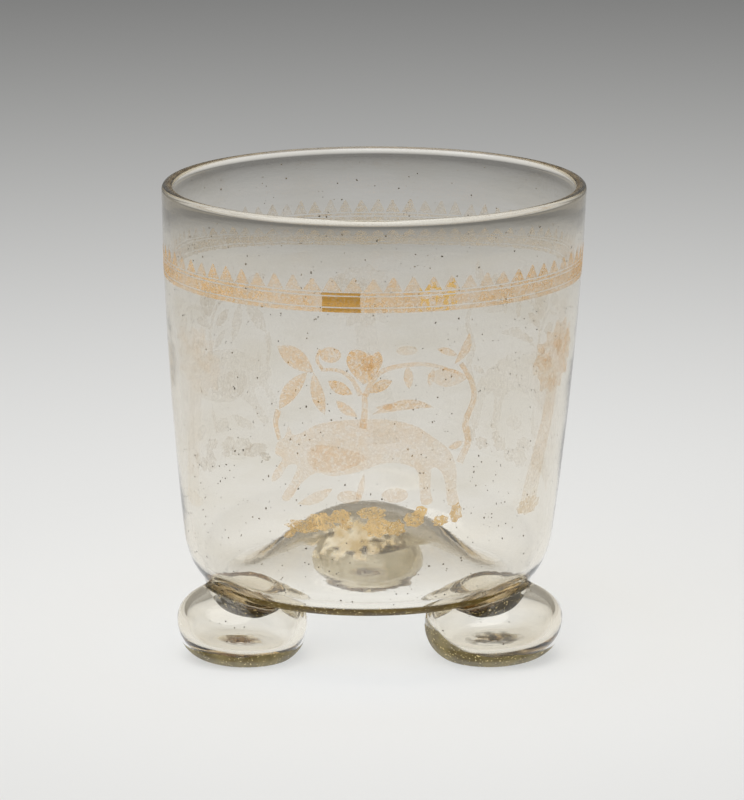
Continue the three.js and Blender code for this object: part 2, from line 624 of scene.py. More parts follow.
@dataclass(frozen=True)
class Bowl:
    """The blown bowl with its fire-rounded lip, rounded heel and pushed-in base."""

    glass: BlownGlass
    ring_z: float = 0.014569
    height: float = 0.0971
    lip_radius: float = 0.0504
    lip_thickness: float = 0.0027
    wall: float = 0.002
    belly: float = 0.00095
    heel_radius: float = 0.0444
    heel_rise: float = 0.0134
    heel_width: float = 0.0084
    slope: float = math.radians(13)
    ring_radius: float = 0.034
    kick_rise: float = 0.0164
    kick_shoulder: float = 0.0185
    kick_toe: float = 0.012
    kick_flare: float = math.radians(4)
    lean: float = 0.0016
    neck: float = 0.009
    base: float = 0.0026
    trough_flat: float = 0.001
    trough_rise: float = -0.007
    sway: float = 0.0001
    sides: int = 192

    @property
    def lip_z(self) -> float:
        """Height of the middle of the lip's bead."""
        return self.ring_z + self.height - self.lip_thickness / 2

    def centre_x(self, height: float) -> float:
        """Where the leaning axis is at a height."""
        return self.lean * (height - self.lip_z) / (self.lip_z - self.ring_z)

    def outside(self) -> list[Vector]:
        """The outside of the section.

        Returns:
            The points, from under the kick to the lip.
        """
        climb = math.tan(self.slope)
        top = self.ring_z + self.kick_rise
        ring = at(self.ring_radius, self.ring_z)
        toe = ring + at(-self.kick_toe, self.kick_toe * math.tan(self.kick_flare))
        run = self.heel_radius - self.heel_width
        heel = at(run, self.ring_z + (run - self.ring_radius) * climb)
        heel_top = at(self.heel_radius, self.ring_z + self.heel_rise)
        lip = at(self.lip_radius, self.lip_z)
        bulge = heel_top.lerp(lip, 0.5) + at(2 * self.belly, 0)
        lean = (bulge.x - heel_top.x) / (bulge.z - heel_top.z)
        reach = (heel_top.x + lean * (heel.z - climb * heel.x - heel_top.z)) / (1 - lean * climb)
        corner = at(reach, heel.z + climb * (reach - heel.x))
        return joined(
            [
                interpolate_bezier(at(0, top), at(self.kick_shoulder, top), toe, ring, 46),
                bend(ring, ring.lerp(heel, 0.5), heel, 12),
                bend(heel, corner, heel_top, 24),
                bend(heel_top, bulge, lip, 50),
            ]
        )

    def inside(self, outside: list[Vector]) -> list[Vector]:
        """The inside of the section, from the lip down to the kick.

        Args:
            outside: the outside of the section.

        Returns:
            The points. The inside turns more gently than the heel, so the glass is thickest there.
        """
        level = self.ring_z + self.heel_rise + self.trough_rise
        wall = [p for p in outside if p.z >= level and p.x > self.ring_radius]
        wall = moved_in(wall, [self.wall] * len(wall))[1:]
        under = [p for p in outside if p.x <= self.ring_radius + 1e-7 and p.z < self.lip_z / 2]
        shares = [limited((p.x - 0.017) / 0.008) for p in under]
        kick = moved_in(under, [self.wall + (self.base - self.wall) * share for share in shares])
        climb = math.tan(self.slope)
        lean = (wall[1] - wall[0]).normalized()
        lean = lean.x / lean.z
        edge = kick[-1] + at(self.trough_flat, self.trough_flat * climb)
        reach = (wall[0].x + lean * (edge.z - climb * edge.x - wall[0].z)) / (1 - lean * climb)
        corner = at(reach, edge.z + climb * (reach - edge.x))
        return joined([kick, [kick[-1], edge], bend(edge, corner, wall[0], 44), wall])[::-1]

    def section(self) -> tuple[list[Vector], list[float]]:
        """The whole section.

        Returns:
            Its points, and for each how freely the wall's inside wanders.
        """
        outside = self.outside()
        half = self.lip_thickness / 2
        bead = arc(at(self.lip_radius - half, self.lip_z), half, half, 0, 200, 22)
        inside = [p for p in self.inside(outside) if p.z < self.lip_z - self.neck]
        end = bead[-1]
        onward = (end - bead[-2]).normalized()
        lean = (inside[0] - inside[1]).normalized()
        neck = interpolate_bezier(
            end, end + onward * 0.0012, inside[0] + lean * self.neck * 0.5, inside[0], 14
        )
        inside[-1].x = 0.0
        points = joined([outside, bead, neck, inside])
        freedom = [0.0] * (len(points) - len(inside))
        freedom += [limited((self.lip_z - 0.006 - p.z) / 0.012) for p in inside]
        return points, freedom

    def underside_at(self, radius: float) -> float:
        """Height of the underside and heel.

        Args:
            radius: how far from the axis.

        Returns:
            The height there, or a metre past the wall.
        """
        line = [p for p in self.outside() if p.z < self.ring_z + self.heel_rise + 1e-6 and p.x > 0.012]
        if radius >= line[-1].x:
            return 1.0
        return read_off([p.x for p in line], [p.z for p in line], radius)

    def wall_radius(self, height: float) -> float:
        """Outer radius of the wall at a height."""
        line = [p for p in self.outside() if p.x > 0.03]
        return read_off([p.z for p in line], [p.x for p in line], height)

    def shear(self) -> Matrix:
        """The lean: slices stay level and slide to the right as they climb."""
        slide = self.lean / (self.lip_z - self.ring_z)
        return Matrix(((1, 0, slide, -slide * self.lip_z), (0, 1, 0, 0), (0, 0, 1, 0), (0, 0, 0, 1)))

    def build(self) -> Piece:
        """Builds the bowl.

        Returns:
            The piece, which stands for its CAD solid.
        """
        points, freedom = self.section()
        mesh = spun(points, self.sides, {"freedom": freedom})
        free = mesh.verts.layers.float["freedom"]
        for vert in mesh.verts:
            if vert[free] > 0:
                wave = noise.noise(vert.co * 38.0) + 0.4 * noise.noise(vert.co * 95.0)
                vert.co += vert.normal * (self.sway * wave * vert[free])
        mesh.verts.layers.float.remove(free)
        bmesh.ops.transform(mesh, matrix=self.shear(), verts=mesh.verts)
        piece = to_object(mesh, "bowl", self.glass.material())
        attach(piece, "root")
        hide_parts("beaker_body")
        return piece


# Feet


@dataclass(frozen=True)
class Foot:
    """A hollow blown bun, squashed against the hot base, with a broken pontil opening underneath."""

    name: str
    node: str
    azimuth: float
    radius: float
    bowl: Bowl
    circle: float = 0.035
    height: float = 0.0182
    waist: float = 0.0088
    wall: float = 0.0022
    floor: float = 0.0036
    roof: float = 0.0014
    bulge: float = 0.0031
    bulge_radius: float = 0.0100
    joint: float = 0.0328
    ring: float = 0.0076
    inner_ring: float = 0.0100
    kick: float = 0.0009
    opening: float = 0.0013
    wear: float = 0.00025
    tilt: float = math.radians(4)
    sink: float = 0.00008
    weld: float = 0.0006
    fillet: float = 0.004
    broken_edge: float = 0.0004
    ragged: float = 0.00035
    ragged_reach: float = 0.005
    sides: int = 112

    def section(self) -> tuple[list[Vector], list[float]]:
        """The foot's section in its own frame.

        Returns:
            Its points, and for each whether it lies on the outside.
        """
        lip = self.kick + 0.6 * self.floor
        hollow = self.radius - self.wall
        outer = joined(
            [
                arc(at(0, self.waist), self.radius, self.height - self.waist, 90, 0, 46),
                arc(at(self.ring, self.waist), self.radius - self.ring, self.waist, 0, -90, 26),
                interpolate_bezier(
                    at(self.ring, 0),
                    at(self.ring / 2, 0),
                    at(self.ring / 2, self.kick),
                    at(self.opening, self.kick),
                    18,
                ),
            ]
        )
        inner = joined(
            [
                interpolate_bezier(
                    at(self.opening, lip),
                    at(self.ring / 2, lip),
                    at(self.ring / 2, self.floor),
                    at(self.inner_ring, self.floor),
                    18,
                ),
                arc(
                    at(self.inner_ring, self.waist),
                    hollow - self.inner_ring,
                    self.waist - self.floor,
                    -90,
                    0,
                    24,
                ),
                arc(at(0, self.waist), hollow, self.height - self.wall - self.waist, 0, 90, 40),
            ]
        )
        outer[0].x = inner[-1].x = 0.0
        return outer + inner, [1.0] * len(outer) + [0.0] * len(inner)

    def seat(self, lowest: float) -> Matrix:
        """Where the foot stands, with its lowest place at the worn flat.

        Args:
            lowest: height of that place once the foot is tilted.

        Returns:
            The matrix from the foot's own frame.
        """
        turn = Matrix.Rotation(math.radians(self.azimuth), 4, "Z")
        stand = Matrix.Translation((self.circle, 0, -self.wear - lowest))
        return Matrix.Translation((-self.bowl.lean, 0, 0)) @ turn @ stand @ self.tilted()

    def bare_seat(self) -> Matrix:
        """Where the foot stands by its plain section, for what is laid on it."""
        return self.seat(min((self.tilted() @ point).z for point in self.section()[0]))

    def tilted(self) -> Matrix:
        """The tilt that raises the outer side."""
        return Matrix.Rotation(-self.tilt, 4, "Y")

    def build(self, glass: Material) -> Piece:
        """Builds the foot.

        Args:
            glass: the feet's glass.

        Returns:
            The piece, which stands for its CAD solid.
        """
        points, outside = self.section()
        mesh = spun(points, self.sides, {"outside": outside})
        outer = mesh.verts.layers.float["outside"]
        self.break_opening(mesh)
        lowest = min((self.tilted() @ vert.co).z for vert in mesh.verts)
        bmesh.ops.transform(mesh, matrix=self.seat(lowest), verts=mesh.verts)
        for vert in mesh.verts:
            self.press(vert, self.sink if vert[outer] > 0.5 else -self.roof_at(vert.co))
            vert.co.z = max(vert.co.z, 0.0)
        mesh.verts.layers.float.remove(outer)
        piece = to_object(mesh, self.name, glass)
        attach(piece, "root")
        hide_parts(self.node)
        return piece

    def break_opening(self, mesh: Mesh) -> None:
        """Rounds and roughens the broken edge of the pontil opening.

        Args:
            mesh: the foot, still in its own frame.
        """
        edges = [
            edge
            for edge in mesh.edges
            if all(abs(math.hypot(v.co.x, v.co.y) - self.opening) < 1e-5 for v in edge.verts)
            and abs(edge.verts[0].co.z - edge.verts[1].co.z) < 1e-6
        ]
        bmesh.ops.bevel(
            mesh,
            geom=edges,
            offset=self.broken_edge,
            segments=3,
            profile=0.5,
            affect="EDGES",
            material=-1,
            clamp_overlap=True,
        )
        mesh.normal_update()
        seed = Vector((self.azimuth, 0, 0))
        for vert in mesh.verts:
            reach = math.hypot(vert.co.x, vert.co.y)
            if reach < self.ragged_reach and vert.co.z < self.floor + self.kick + 0.001:
                rough = noise.noise(vert.co * 700 + seed) + 0.5 * noise.noise(vert.co * 1800 + seed)
                vert.co += vert.normal * (self.ragged * rough * (1 - reach / self.ragged_reach))

    @property
    def middle(self) -> Vector:
        """The middle of the joint, on the table's plane."""
        turn = math.radians(self.azimuth)
        return Vector((self.joint * math.cos(turn) - self.bowl.lean, self.joint * math.sin(turn), 0))

    def off_joint_painted_shade(self, place: Vector) -> float:
        """How far a place is from the joint's middle, with 1 at its edge."""
        return math.hypot(place.x - self.middle.x, place.y - self.middle.y) / self.bulge_radius

    def roof_at(self, place: Vector) -> float:
        """How thick the foot's roof is at a place: it bulges into the hollow under the joint."""
        return self.roof + self.bulge * max(0.0, 1 - self.off_joint_painted_shade(place) ** 4)

    def press(self, vert: bmesh.types.BMVert, above: float) -> None:
        """Flattens a vertex against the base, and draws what is close into a fillet.

        Args:
            vert: the vertex.
            above: how far above the base's underside it may reach.
        """
        across = vert.co.x - self.bowl.centre_x(vert.co.z)
        ceiling = self.bowl.underside_at(math.hypot(across, vert.co.y)) + above
        below = ceiling - vert.co.z
        if below < 0:
            vert.co.z = ceiling
        elif below < self.fillet:
            vert.co.z = ceiling - below * (1 - math.exp(-below / self.weld))


# Painted shade and a painted highlight: films for thick glass seen edge on


@dataclass(frozen=True)
class JointFilm:
    """Painted shade: the dark olive that a foot's joint shows through thick glass, as a film on the ceiling
    of the foot's hollow. It shows from below alone.
    """

    foot: Foot
    radius: float = 0.0102
    thickness: float = 0.00002
    gap: float = 0.00004
    steps: int = 14
    sides: int = 56

    def build(self, olive: Material) -> Piece:
        """Builds the film.

        Args:
            olive: its finish.

        Returns:
            The piece.
        """
        foot, bowl, half = self.foot, self.foot.bowl, self.thickness / 2
        shares = [i / self.steps for i in range(self.steps + 1)]
        upper = [at(self.radius * share, half * (1 - share**8)) for share in shares]
        section = upper + [at(p.x, -max(p.z, half / 4)) for p in reversed(upper[:-1])]
        film = [min(1.0, 6 * (1 - p.x / self.radius)) if p.z < 0 else 0.0 for p in section]
        mesh = spun(section, self.sides, {"film": film})
        for vert in mesh.verts:
            wave = 1 + 0.05 * noise.noise(Vector((vert.co.x * 260, vert.co.y * 260, foot.azimuth)))
            flat = vert.co * wave
            place = foot.middle + Vector((flat.x, flat.y, 0))
            level = bowl.ring_z
            for _ in range(3):
                level = bowl.underside_at(math.hypot(place.x - bowl.centre_x(level), place.y))
            ceiling = level - foot.roof_at(place) - self.gap
            vert.co = Vector((place.x, place.y, ceiling + vert.co.z))
        piece = to_object(mesh, foot.name + "_joint_painted_shade", olive)
        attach(piece, "root")
        return piece


@dataclass(frozen=True)
class PaintedLightShell:
    """A thin turned shell just off the glass, for painted shade such as the dark olive that shows along an
    edge of thick glass, and for a painted highlight.
    """

    name: str
    slot: Slot
    gap: float = 0.00002
    thickness: float = 0.00002
    fade: float = 0.00025

    def shell(self, line: list[Vector], sides: int) -> Mesh:
        """A thin turned shell just off a line of the glass's outside.

        Args:
            line: points of the outside, in order from the axis outwards.
            sides: how many sides it has.

        Returns:
            The mesh, with a layer that says how strong the film is.
        """
        under = moved_in(line, [-self.gap] * len(line))
        over = moved_in(line, [-self.gap - self.thickness] * len(line))
        reach = [0.0]
        for a, b in zip(line, line[1:]):
            reach.append(reach[-1] + (b - a).length)
        film = [min(1.0, x / (4 * self.fade), (reach[-1] - x) / self.fade) for x in reach]
        return spun(under + over[::-1], sides, {"film": [0.0] * len(film) + film[::-1]}, ring=True)

    def finish(self, mesh: Mesh, olive: Material) -> Piece:
        """Turns the shell into its piece.

        Args:
            mesh: the shell.
            olive: its finish.

        Returns:
            The piece.
        """
        piece = to_object(mesh, self.name, olive)
        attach(piece, "root")
        return piece


@dataclass(frozen=True)
class BowlPaintedLightFilm(PaintedLightShell):
    """A film of painted shade on the bowl, in one kind a painted highlight. Each kind says which line it
    follows and how strong it is at a place.
    """

    def line(self, bowl: Bowl) -> list[Vector]:
        """The line of the upright bowl's section that it follows."""
        raise NotImplementedError

    def strength(self, bowl: Bowl, place: Vector, edge: float) -> float:
        """How strong it is at a place of the upright bowl, edge being what fades its rims."""
        return edge

    def build(self, bowl: Bowl, finish: StainAndPaintedLightFilm) -> Piece:
        """Builds the film.

        Args:
            bowl: the bowl.
            finish: its finish.

        Returns:
            The piece.
        """
        mesh = self.shell(self.line(bowl), bowl.sides)
        film = mesh.verts.layers.float["film"]
        for vert in mesh.verts:
            vert[film] = self.strength(bowl, vert.co, vert[film])
            vert.co.z = min(vert.co.z, bowl.lip_z + bowl.lip_thickness / 2)
        bmesh.ops.transform(mesh, matrix=bowl.shear(), verts=mesh.verts)
        return self.finish(mesh, finish.material())


@dataclass(frozen=True)
class HeelFilm(BowlPaintedLightFilm):
    """Painted shade: the dark olive band that the thick glass of the bowl's heel shows edge on, as a film,
    all but gone where the feet's joints interrupt it.
    """

    feet: tuple = ()
    start: float = 0.0350
    high: float = 0.0023
    least: float = 0.12

    def line(self, bowl: Bowl) -> list[Vector]:
        """The heel's lowest part.

        Args:
            bowl: the bowl.

        Returns:
            The points that lie close to the slope of the base.
        """
        tilt = at(-math.sin(bowl.slope), math.cos(bowl.slope))
        foot = at(bowl.ring_radius, bowl.ring_z)
        return [p for p in bowl.outside() if p.x > self.start and (p - foot).dot(tilt) < self.high]

    def strength(self, bowl: Bowl, place: Vector, edge: float) -> float:
        """Weak at the joints of the feet."""
        off = min(foot.off_joint_painted_shade(bowl.shear() @ place) for foot in self.feet)
        return edge * limited(4 * (off - 0.95), self.least)


@dataclass(frozen=True)
class LipFilm(BowlPaintedLightFilm):
    """Painted shade: the brownish dark line that the thick lip shows along the top of its bead, as a film."""

    start: float = 62.0
    end: float = 138.0

    def line(self, bowl: Bowl) -> list[Vector]:
        """The top of the bead, from the outside inwards."""
        half = bowl.lip_thickness / 2
        return arc(at(bowl.lip_radius - half, bowl.lip_z), half, half, self.start, self.end, 18)


@dataclass(frozen=True)
class KickFilm(BowlPaintedLightFilm):
    """Painted shade: the dark olive that the pushed-in base's thick glass shows, as a film on the underside
    of its cone.
    """

    full: float = 0.020
    gone: float = 0.0285

    def line(self, bowl: Bowl) -> list[Vector]:
        """The underside of the kick."""
        top = bowl.ring_z + bowl.kick_rise
        return [p for p in bowl.outside() if 0.0005 < p.x < self.gone and p.z < top]

    def strength(self, bowl: Bowl, place: Vector, edge: float) -> float:
        """Full near the axis, fading outwards."""
        return limited((self.gone - math.hypot(place.x, place.y)) / (self.gone - self.full))


@dataclass(frozen=True)
class KickHighlight(BowlPaintedLightFilm):
    """A painted highlight: a pale patch for the lamp's reflection on the front shoulder of the pushed-in
    base, inside the bowl.
    """

    near: float = 0.0040
    far: float = 0.0215
    middle: tuple = (-0.0032, -0.0148)
    reach: tuple = (0.0075, 0.0046)
    gap: float = -0.00003
    thickness: float = -0.00003

    def line(self, bowl: Bowl) -> list[Vector]:
        """The kick's upper side.

        Args:
            bowl: the bowl.

        Returns:
            The points, off the glass's inside.
        """
        outside = [p for p in bowl.outside() if p.x < self.far + 0.002 and p.z < bowl.lip_z / 2]
        inside = moved_in(outside, [bowl.wall] * len(outside))
        return [p for p in inside if self.near < p.x < self.far]

    def strength(self, bowl: Bowl, place: Vector, edge: float) -> float:
        """A ragged oval patch."""
        off = [(place[i] - self.middle[i]) / self.reach[i] for i in (0, 1)]
        return limited(2.5 * (1.2 - math.hypot(*off) + 1.3 * noise.noise(place * 620)))


@dataclass(frozen=True)
class FootFilm(PaintedLightShell):
    """Painted shade: the dark olive band that the thick bottom of a foot shows edge on, as a film."""

    low: float = 0.00005
    high: float = 0.0042
    rise: float = 0.0
    sway: float = 0.0005
    outer: bool = False
    outer_fade: float = 0.004

    def build(self, foot: Foot, olive: Material) -> Piece:
        """Builds the band of painted shade.

        Args:
            foot: the foot.
            olive: its finish.

        Returns:
            The piece. Its upper edge wanders a little and climbs by rise towards the foot's left side, where
            the painted shade reaches higher.
            The band of an outer one stays off the side that faces the other feet.
        """
        lower = arc(at(foot.ring, foot.waist), foot.radius - foot.ring, foot.waist, -90, 0, 40)
        upper = arc(at(0, foot.waist), foot.radius, foot.height - foot.waist, 0, 36, 14)
        line = [p for p in joined([lower, upper]) if p.z > self.low]
        mesh = self.shell(line, foot.sides)
        film = mesh.verts.layers.float["film"]
        bmesh.ops.transform(mesh, matrix=foot.bare_seat(), verts=mesh.verts)
        middle = foot.middle
        for vert in mesh.verts:
            sway = self.sway * noise.noise(vert.co * 180)
            top = self.high + sway + self.rise * min(0.0, (vert.co.x - middle.x) / foot.radius) ** 2
            vert[film] *= limited((top - vert.co.z) / (2 * self.fade))
            if self.outer:
                vert[film] *= limited((vert.co.y - middle.y) / self.outer_fade)
            vert.co.z = max(vert.co.z, self.gap)
        return self.finish(mesh, olive)


@dataclass(frozen=True)
class Scar:
    """What the pontil left round its broken opening, on the floor of a foot's hollow."""

    foot: Foot
    reach: float = 0.0048
    wild: float = 0.45
    gap: float = 0.00005
    thickness: float = 0.00003
    sides: int = 72

    def build(self, finish: Material) -> Piece:
        """Builds the scar.

        Args:
            finish: its finish.

        Returns:
            The piece, thinned to ragged patches.
        """
        foot = self.foot
        floor = [p for p, out in zip(*foot.section()) if out < 0.5 and p.z < foot.floor + 0.001]
        floor = [p for p in floor if foot.opening + 0.0003 < p.x <= self.reach + 0.001]
        under = moved_in(floor, [self.gap] * len(floor))
        over = moved_in(floor, [self.gap + self.thickness] * len(floor))
        mesh = spun(under + over[::-1], self.sides, {"film": [1.0] * (2 * len(floor))}, ring=True)
        film = mesh.verts.layers.float["film"]
        seed = Vector((foot.azimuth * 0.37, 1.7, 0))
        for vert in mesh.verts:
            radius = math.hypot(vert.co.x, vert.co.y)
            patch = 0.55 + self.wild * 2.2 * noise.noise(Vector((vert.co.x, vert.co.y, 0)) * 420 + seed)
            fall = 1.15 - radius / self.reach
            vert[film] = limited(2.6 * (patch * fall))
        bmesh.ops.transform(mesh, matrix=foot.bare_seat(), verts=mesh.verts)
        piece = to_object(mesh, foot.name + "_scar", finish)
        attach(piece, "root")
        return piece


# Seeds


@dataclass(frozen=True)
class Seeds:
    """Small bubbles and specks frozen into the glass of the bowl and the feet."""

    bowl: Bowl
    count: int = 2200
    in_each_foot: int = 26
    smallest: float = 0.00005
    largest: float = 0.00025
    seed: int = 41

    def size(self, dice: random.Random) -> float:
        """A radius, mostly near the smallest."""
        return self.smallest + (self.largest - self.smallest) * dice.random() ** 2.6

    def add(self, mesh: Mesh, place: Vector, dice: random.Random) -> None:
        """Adds one seed, a little longer than wide.

        Args:
            mesh: what it is added to.
            place: its middle.
            dice: the source of its size and turn.
        """
        stretch = Matrix.Diagonal((1, 1, 1 + 0.7 * dice.random() ** 2, 1))
        turn = Euler([dice.uniform(0, math.tau) for _ in range(3)]).to_matrix().to_4x4()
        bmesh.ops.create_icosphere(
            mesh, subdivisions=1, radius=self.size(dice), matrix=Matrix.Translation(place) @ turn @ stretch
        )

    def build(self, feet: list[Foot]) -> Piece:
        """Builds the seeds.

        Args:
            feet: the feet, whose walls have some too.

        Returns:
            The piece, inside the glass.
        """
        dice = random.Random(self.seed)
        mesh = bmesh.new()
        outside = self.bowl.outside()
        line = moved_in(outside, [self.bowl.wall / 2] * len(outside))
        reach = [0.0]
        for a, b in zip(line, line[1:]):
            reach.append(reach[-1] + (b - a).length * (a.x + b.x) / 2)
        for _ in range(self.count):
            index = max(1, bisect.bisect_left(reach, dice.uniform(0, reach[-1] * 0.985)))
            point = line[index - 1].lerp(line[index], dice.random())
            inward = dice.uniform(-0.0004, 0.0004)
            turn = dice.uniform(0, math.tau)
            radius = point.x + (inward if point.z > self.bowl.ring_z + self.bowl.heel_rise else 0)
            place = Vector((radius * math.cos(turn), radius * math.sin(turn), point.z))
            place.x += self.bowl.centre_x(place.z)
            self.add(mesh, place, dice)
        for foot in feet:
            self.add_in_foot(mesh, foot, dice)
        piece = to_object(mesh, "seeds", SeedSkin().material())
        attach(piece, "root")
        return piece

    def add_in_foot(self, mesh: Mesh, foot: Foot, dice: random.Random) -> None:
        """Adds the seeds of one foot, in the middle of its wall.

        Args:
            mesh: what they are added to.
            foot: the foot.
            dice: the source of their places.
        """
        seat = foot.seat(-0.0005)
        middle = foot.radius - foot.wall / 2
        for _ in range(self.in_each_foot):
            turn, climb = dice.uniform(0, math.tau), dice.uniform(-0.7, 0.5)
            radius = foot.ring + (middle - foot.ring) * math.cos(climb)
            height = foot.waist + (foot.waist - foot.wall / 2) * math.sin(climb)
            self.add(mesh, seat @ Vector((radius * math.cos(turn), radius * math.sin(turn), height)), dice)


# Gilding


@dataclass(frozen=True)
class Sketch:
    """A pen on the unrolled wall. A point is its run along the wall and its height, in millimetres."""

    sheet: Mesh
    run: float
    share: float

    def shape(self, outline: list[tuple[float, float]], left: float) -> None:
        """Draws one filled shape.

        Args:
            outline: its corners, counted from the sketch's own run.
            left: how much leaf is left on it.
        """
        corners = [self.sheet.verts.new((self.run + run, height, 0)) for run, height in outline]
        face = self.sheet.faces.new(corners)
        face[self.sheet.faces.layers.float["leaf"]] = left * self.share

    @staticmethod
    def smooth(knots: list[Vector], count: int) -> list[Vector]:
        """A smooth way.

        Args:
            knots: what it runs through. The first and the last only steer it.
            count: how many points it has from one knot to the next.

        Returns:
            The points, without the last one.
        """
        way = []
        for before, a, b, after in zip(knots, knots[1:], knots[2:], knots[3:]):
            way += interpolate_bezier(a, a + (b - before) / 6, b - (after - a) / 6, b, count + 1)[:-1]
        return way

    def blot(self, points: list[tuple[float, float]], left: float, count: int = 4) -> None:
        """Draws a filled shape with a smooth outline.

        Args:
            points: what the outline runs through.
            left: how much leaf is left on it.
            count: how many corners the outline has from one point to the next.
        """
        knots = [Vector((x, y, 0)) for x, y in points]
        outline = self.smooth([knots[-1], *knots, *knots[:2]], count)
        self.shape([(p.x, p.y) for p in outline], left)

    def stem(self, points: list[tuple[float, float]], wide: float, thin: float, left: float) -> None:
        """Draws a stem that tapers along smooth points.

        Args:
            points: the stem's way.
            wide: its width at the first point.
            thin: its width at the last.
            left: how much leaf is left on it.
        """
        knots = [Vector((x, y, 0)) for x, y in points]
        knots = [2 * knots[0] - knots[1], *knots, 2 * knots[-1] - knots[-2]]
        way = [*self.smooth(knots, 4), knots[-2]]
        right, other = [], []
        for index, point in enumerate(way):
            ahead = (way[min(index + 1, len(way) - 1)] - way[max(index - 1, 0)]).normalized()
            half = (wide + (thin - wide) * index / (len(way) - 1)) / 2
            right.append((point.x + ahead.y * half, point.y - ahead.x * half))
            other.append((point.x - ahead.y * half, point.y + ahead.x * half))
        self.shape(right + other[::-1], left)

    def blade(self, root: tuple, tip: tuple, width: float, sweep: float, left: float) -> None:
        """Draws a leaf.

        Args:
            root: where the leaf grows from.
            tip: its point.
            width: its breadth.
            sweep: how far its middle bends to the left of the way to the tip.
            left: how much leaf is left on it.
        """
        a, b = Vector((*root, 0)), Vector((*tip, 0))
        side = Vector((a.y - b.y, b.x - a.x, 0)).normalized()
        middle = a.lerp(b, 0.55) + side * sweep
        out = bend(a, middle + side * width, b, 9)
        back = bend(b, middle - side * width, a, 9)
        self.shape([(p.x, p.y) for p in out[:-1] + back[:-1]], left)

    def bud(self, centre: tuple, wide: float, high: float, left: float) -> None:
        """Draws a round bud."""
        points = arc(Vector((centre[0], 0, centre[1])), wide / 2, high / 2, 0, 340, 18)
        self.shape([(p.x, p.z) for p in points], left)

    def clump(
        self, centre: tuple, wide: float, high: float, left: float, dice: random.Random, lobes: int = 9
    ) -> None:
        """Draws a lobed clump of foliage.

        Args:
            centre: its middle.
            wide: its width.
            high: its height.
            left: how much leaf is left on it.
            dice: the source of its raggedness.
            lobes: how many lobes its outline has.
        """
        outline = []
        for index in range(2 * lobes):
            turn = math.pi * index / lobes
            far = (1.0 if index % 2 else 0.84) + dice.uniform(-0.13, 0.09)
            run = centre[0] + wide / 2 * far * math.cos(turn)
            outline.append((run, centre[1] + high / 2 * far * math.sin(turn)))
        self.blot(outline, left, 3)


